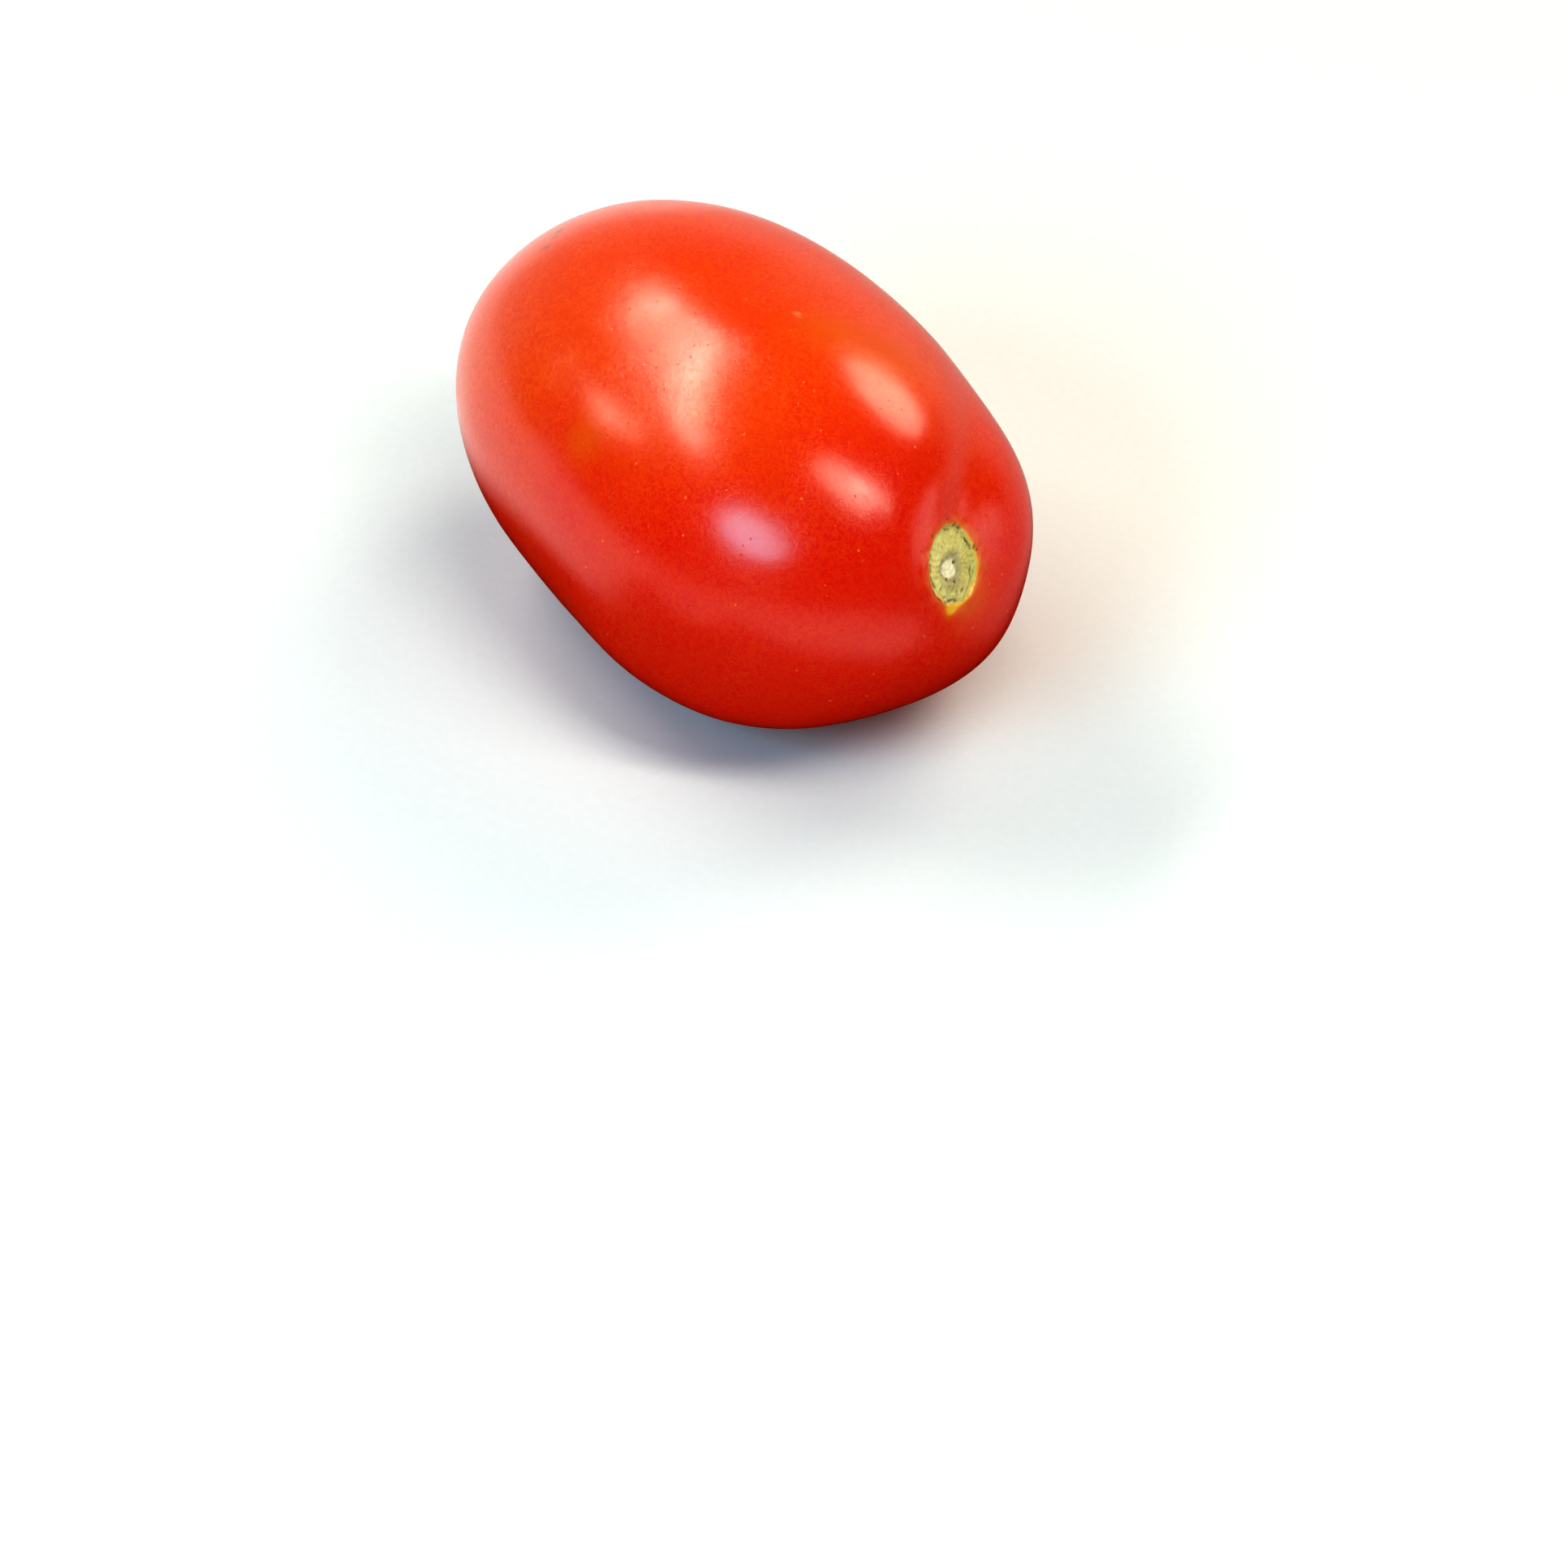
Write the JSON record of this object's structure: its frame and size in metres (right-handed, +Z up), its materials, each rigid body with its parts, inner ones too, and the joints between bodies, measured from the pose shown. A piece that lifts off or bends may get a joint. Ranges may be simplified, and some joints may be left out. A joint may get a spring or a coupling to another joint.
{
  "type": "plum tomato",
  "caption": "Ripe red plum tomato lying on its side: an oblong glossy fruit with a corky stem scar in a shallow basin at one end and a small point at the other.",
  "frame": {"origin": "middle of the bounding box's underside, on the surface that the fruit rests on", "axes": "+X along the fruit towards the stem end, +Z up, with the fruit lying on its side on its flat spot"},
  "size_m": [0.0812, 0.0518, 0.0442],
  "materials": {
    "skin": "smooth waxy ripe skin, orange red to deep red, with a dull yellow green corky scar at the stem end"
  },
  "bodies": {
    "root": {"tomato": "skin"}
  },
  "joints": []
}
